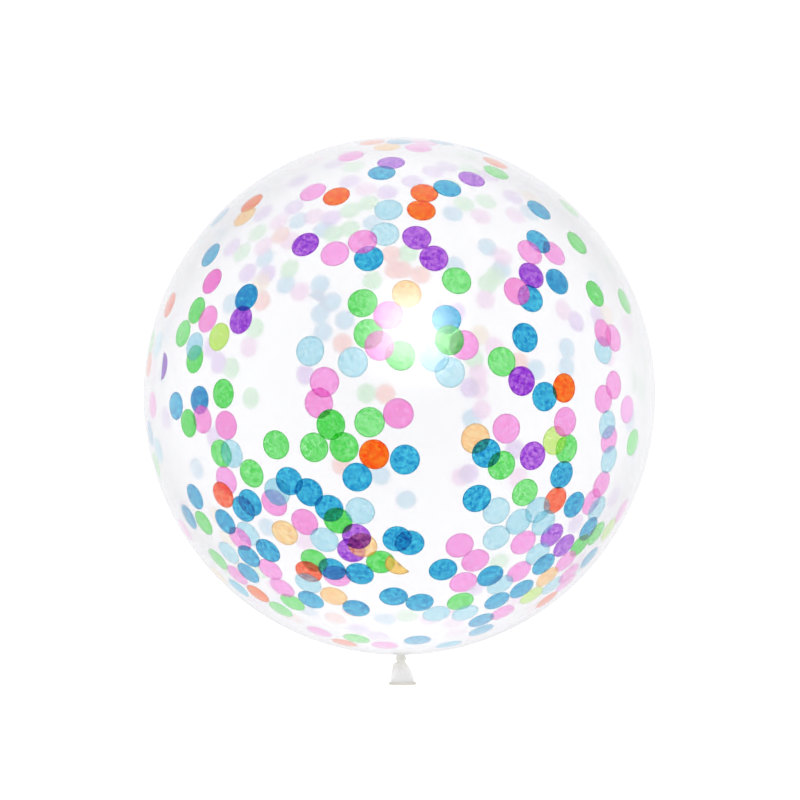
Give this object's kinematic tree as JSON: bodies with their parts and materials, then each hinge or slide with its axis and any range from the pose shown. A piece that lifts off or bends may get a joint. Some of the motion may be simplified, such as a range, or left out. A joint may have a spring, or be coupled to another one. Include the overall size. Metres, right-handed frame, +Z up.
{
  "type": "confetti balloon",
  "caption": "Giant clear latex balloon, nearly round, blown up and tied, lying on its side, with round tissue-paper confetti in bright colours clinging to the inside of its skin",
  "frame": {"origin": "The middle of the small flat spot that the balloon lies on, under the middle of its blown-up body", "axes": "+Z is up. The balloon's long axis lies level along Y: its crown is at +Y, and its neck, knot and open tail point along -Y. X is across it. -Z faces the floor"},
  "size_m": [0.8998, 0.9756, 0.8971],
  "materials": {
    "clear_latex": "clear, glossy, faintly hazy blown-up latex, cream coloured where it is gathered in the knot and the lip",
    "tissue_paper": "thin matt tissue paper discs in blue, light blue, green, pink, purple, orange-red, yellow-orange and lime, which let light through"
  },
  "bodies": {
    "root": {"latex_balloon": "clear_latex"}
  },
  "joints": []
}
